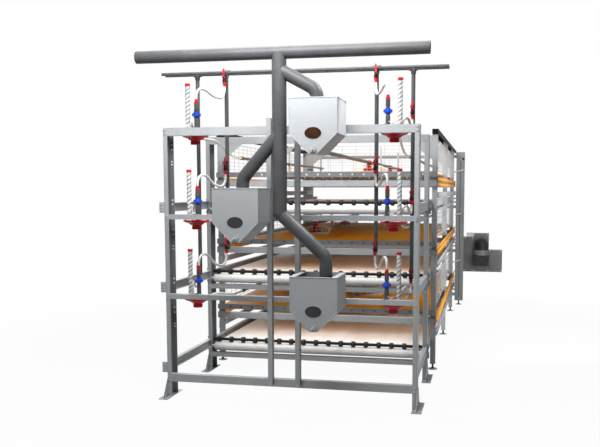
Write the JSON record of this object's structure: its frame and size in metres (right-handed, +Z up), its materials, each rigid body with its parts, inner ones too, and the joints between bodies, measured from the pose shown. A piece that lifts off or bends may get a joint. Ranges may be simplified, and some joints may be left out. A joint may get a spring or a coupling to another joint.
{
  "type": "broiler cage",
  "caption": "Tiered broiler cage section with slatted floors, manure belts, hoppers with feed augers, pan feeders, wire doors, and regulated drinking lines.",
  "frame": {"origin": "on the floor, at the centre of the four anchor holes of the front end frame", "axes": "+Y from the feed end to the drive end, +X to the side with the doors and the drive, +Z up"},
  "size_m": [2.847, 6.0635, 2.635],
  "materials": {
    "galvanised": "satin",
    "wire": "satin",
    "feed_pipe": "satin",
    "belt": "matte",
    "roller": "satin",
    "orange": "satin",
    "black": "matte",
    "strip": "matte",
    "water_pipe": "satin",
    "red": "gloss",
    "blue": "gloss",
    "hose": "satin",
    "tube": "gloss",
    "motor": "satin"
  },
  "bodies": {
    "frame": {"front_uprights": "galvanised", "front_cross_beams": "galvanised", "feeder_posts": "galvanised", "roller_frame": "galvanised", "long_rails": "galvanised", "cage_legs": "galvanised", "levelling_feet": "black", "cross_members": "galvanised", "cage_floors": "orange", "side_curbs": "orange", "top_strips": "strip", "manure_belts": "belt", "wire_panels": "wire", "rear_frame": "galvanised", "drive_housing": "galvanised", "drive_motor": "motor", "feed_pipes": "feed_pipe", "feed_tubes": "galvanised", "feed_pans": "red", "water_pipes": "water_pipe", "valve_bodies": "water_pipe", "water_hoses": "hose", "regulator_columns": "water_pipe", "regulator_unions": "blue", "regulator_domes": "red", "sight_tubes": "tube", "red_fittings": "red", "hopper_lower": "galvanised", "hopper_middle": "galvanised", "hopper_upper": "galvanised"},
    "auger_lower": {"auger_lower": "galvanised"},
    "idle_roller_lower": {"idle_roller_lower": "roller"},
    "drive_roller_lower": {"drive_roller_lower": "roller"},
    "ring_shaft_lower": {"ring_shaft_lower": "black"},
    "door_lower_1": {"door_lower_1": "wire"},
    "door_lower_2": {"door_lower_2": "wire"},
    "auger_middle": {"auger_middle": "galvanised"},
    "idle_roller_middle": {"idle_roller_middle": "roller"},
    "drive_roller_middle": {"drive_roller_middle": "roller"},
    "ring_shaft_middle": {"ring_shaft_middle": "black"},
    "door_middle_1": {"door_middle_1": "wire"},
    "door_middle_2": {"door_middle_2": "wire"},
    "auger_upper": {"auger_upper": "galvanised"},
    "idle_roller_upper": {"idle_roller_upper": "roller"},
    "drive_roller_upper": {"drive_roller_upper": "roller"},
    "ring_shaft_upper": {"ring_shaft_upper": "black"},
    "door_upper_1": {"door_upper_1": "wire"},
    "door_upper_2": {"door_upper_2": "wire"},
    "shutoff_lever_lower_right": {"shutoff_lever_lower_right": "red"},
    "flush_lever_lower_right": {"flush_lever_lower_right": "red"},
    "shutoff_lever_lower_left": {"shutoff_lever_lower_left": "red"},
    "flush_lever_lower_left": {"flush_lever_lower_left": "red"},
    "shutoff_lever_middle_right": {"shutoff_lever_middle_right": "red"},
    "flush_lever_middle_right": {"flush_lever_middle_right": "red"},
    "shutoff_lever_middle_left": {"shutoff_lever_middle_left": "red"},
    "flush_lever_middle_left": {"flush_lever_middle_left": "red"},
    "shutoff_lever_upper_right": {"shutoff_lever_upper_right": "red"},
    "flush_lever_upper_right": {"flush_lever_upper_right": "red"},
    "shutoff_lever_upper_left": {"shutoff_lever_upper_left": "red"},
    "flush_lever_upper_left": {"flush_lever_upper_left": "red"}
  },
  "joints": [
    {"name": "drive_roller_middle_spin", "type": "hinge", "parent": "frame", "child": "drive_roller_middle", "pos_m": [0, 5.414, 0.835], "axis": [1, 0, 0], "continuous": true},
    {"name": "drive_roller_lower_spin", "type": "hinge", "parent": "frame", "child": "drive_roller_lower", "pos_m": [0, 5.414, 0.215], "axis": [1, 0, 0], "continuous": true},
    {"name": "drive_roller_upper_spin", "type": "hinge", "parent": "frame", "child": "drive_roller_upper", "pos_m": [0, 5.414, 1.455], "axis": [1, 0, 0], "continuous": true},
    {"name": "idle_roller_lower_spin", "type": "hinge", "parent": "frame", "child": "idle_roller_lower", "pos_m": [0, 0.925, 0.215], "axis": [1, 0, 0], "continuous": true},
    {"name": "ring_shaft_lower_spin", "type": "hinge", "parent": "frame", "child": "ring_shaft_lower", "pos_m": [0, 0.925, 0.2793], "axis": [1, 0, 0], "continuous": true},
    {"name": "auger_lower_spin", "type": "hinge", "parent": "frame", "child": "auger_lower", "pos_m": [0.283, -0.4, 0.665], "axis": [0, 1, 0], "continuous": true},
    {"name": "door_lower_1_swing", "type": "hinge", "parent": "frame", "child": "door_lower_1", "pos_m": [1.012, 2.184, 0.832], "axis": [0, -1, 0], "range_deg": [0, 90]},
    {"name": "door_lower_2_swing", "type": "hinge", "parent": "frame", "child": "door_lower_2", "pos_m": [1.012, 3.924, 0.832], "axis": [0, -1, 0], "range_deg": [0, 90]},
    {"name": "idle_roller_middle_spin", "type": "hinge", "parent": "frame", "child": "idle_roller_middle", "pos_m": [0, 0.925, 0.835], "axis": [1, 0, 0], "continuous": true},
    {"name": "ring_shaft_middle_spin", "type": "hinge", "parent": "frame", "child": "ring_shaft_middle", "pos_m": [0, 0.925, 0.8993], "axis": [1, 0, 0], "continuous": true},
    {"name": "auger_middle_spin", "type": "hinge", "parent": "frame", "child": "auger_middle", "pos_m": [-0.283, -0.4, 1.285], "axis": [0, 1, 0], "continuous": true},
    {"name": "door_middle_1_swing", "type": "hinge", "parent": "frame", "child": "door_middle_1", "pos_m": [1.012, 2.184, 1.452], "axis": [0, -1, 0], "range_deg": [0, 90]},
    {"name": "door_middle_2_swing", "type": "hinge", "parent": "frame", "child": "door_middle_2", "pos_m": [1.012, 3.924, 1.452], "axis": [0, -1, 0], "range_deg": [0, 90]},
    {"name": "idle_roller_upper_spin", "type": "hinge", "parent": "frame", "child": "idle_roller_upper", "pos_m": [0, 0.925, 1.455], "axis": [1, 0, 0], "continuous": true},
    {"name": "ring_shaft_upper_spin", "type": "hinge", "parent": "frame", "child": "ring_shaft_upper", "pos_m": [0, 0.925, 1.5193], "axis": [1, 0, 0], "continuous": true},
    {"name": "auger_upper_spin", "type": "hinge", "parent": "frame", "child": "auger_upper", "pos_m": [0.283, -0.4, 1.905], "axis": [0, 1, 0], "continuous": true},
    {"name": "door_upper_1_swing", "type": "hinge", "parent": "frame", "child": "door_upper_1", "pos_m": [1.012, 2.184, 2.072], "axis": [0, -1, 0], "range_deg": [0, 90]},
    {"name": "door_upper_2_swing", "type": "hinge", "parent": "frame", "child": "door_upper_2", "pos_m": [1.012, 3.924, 2.072], "axis": [0, -1, 0], "range_deg": [0, 90]},
    {"name": "shutoff_lever_lower_right_turn", "type": "hinge", "parent": "frame", "child": "shutoff_lever_lower_right", "pos_m": [0.61, 0.3, 1.185], "axis": [0, 1, 0], "range_deg": [0, 90]},
    {"name": "flush_lever_lower_right_turn", "type": "hinge", "parent": "frame", "child": "flush_lever_lower_right", "pos_m": [0.885, 0.38, 0.964], "axis": [0, 1, 0], "range_deg": [0, 90]},
    {"name": "shutoff_lever_lower_left_turn", "type": "hinge", "parent": "frame", "child": "shutoff_lever_lower_left", "pos_m": [-0.61, 0.3, 1.185], "axis": [0, -1, 0], "range_deg": [0, 90]},
    {"name": "flush_lever_lower_left_turn", "type": "hinge", "parent": "frame", "child": "flush_lever_lower_left", "pos_m": [-0.885, 0.38, 0.964], "axis": [0, -1, 0], "range_deg": [0, 90]},
    {"name": "shutoff_lever_middle_right_turn", "type": "hinge", "parent": "frame", "child": "shutoff_lever_middle_right", "pos_m": [0.61, 0.3, 1.822], "axis": [0, 1, 0], "range_deg": [0, 90]},
    {"name": "flush_lever_middle_right_turn", "type": "hinge", "parent": "frame", "child": "flush_lever_middle_right", "pos_m": [0.885, 0.38, 1.584], "axis": [0, 1, 0], "range_deg": [0, 90]},
    {"name": "shutoff_lever_middle_left_turn", "type": "hinge", "parent": "frame", "child": "shutoff_lever_middle_left", "pos_m": [-0.61, 0.3, 1.822], "axis": [0, -1, 0], "range_deg": [0, 90]},
    {"name": "flush_lever_middle_left_turn", "type": "hinge", "parent": "frame", "child": "flush_lever_middle_left", "pos_m": [-0.885, 0.38, 1.584], "axis": [0, -1, 0], "range_deg": [0, 90]},
    {"name": "shutoff_lever_upper_right_turn", "type": "hinge", "parent": "frame", "child": "shutoff_lever_upper_right", "pos_m": [0.61, 0.3, 2.52], "axis": [0, 1, 0], "range_deg": [0, 90]},
    {"name": "flush_lever_upper_right_turn", "type": "hinge", "parent": "frame", "child": "flush_lever_upper_right", "pos_m": [0.885, 0.38, 2.245], "axis": [0, 1, 0], "range_deg": [0, 90]},
    {"name": "shutoff_lever_upper_left_turn", "type": "hinge", "parent": "frame", "child": "shutoff_lever_upper_left", "pos_m": [-0.61, 0.3, 2.52], "axis": [0, -1, 0], "range_deg": [0, 90]},
    {"name": "flush_lever_upper_left_turn", "type": "hinge", "parent": "frame", "child": "flush_lever_upper_left", "pos_m": [-0.885, 0.38, 2.245], "axis": [0, -1, 0], "range_deg": [0, 90]}
  ],
  "couplings": [
    {"joint": "drive_roller_lower_spin", "follows": "drive_roller_middle_spin", "ratio": 1},
    {"joint": "drive_roller_upper_spin", "follows": "drive_roller_middle_spin", "ratio": 1},
    {"joint": "idle_roller_lower_spin", "follows": "drive_roller_middle_spin", "ratio": 1},
    {"joint": "ring_shaft_lower_spin", "follows": "drive_roller_middle_spin", "ratio": -1.56},
    {"joint": "idle_roller_middle_spin", "follows": "drive_roller_middle_spin", "ratio": 1},
    {"joint": "ring_shaft_middle_spin", "follows": "drive_roller_middle_spin", "ratio": -1.56},
    {"joint": "idle_roller_upper_spin", "follows": "drive_roller_middle_spin", "ratio": 1},
    {"joint": "ring_shaft_upper_spin", "follows": "drive_roller_middle_spin", "ratio": -1.56}
  ]
}
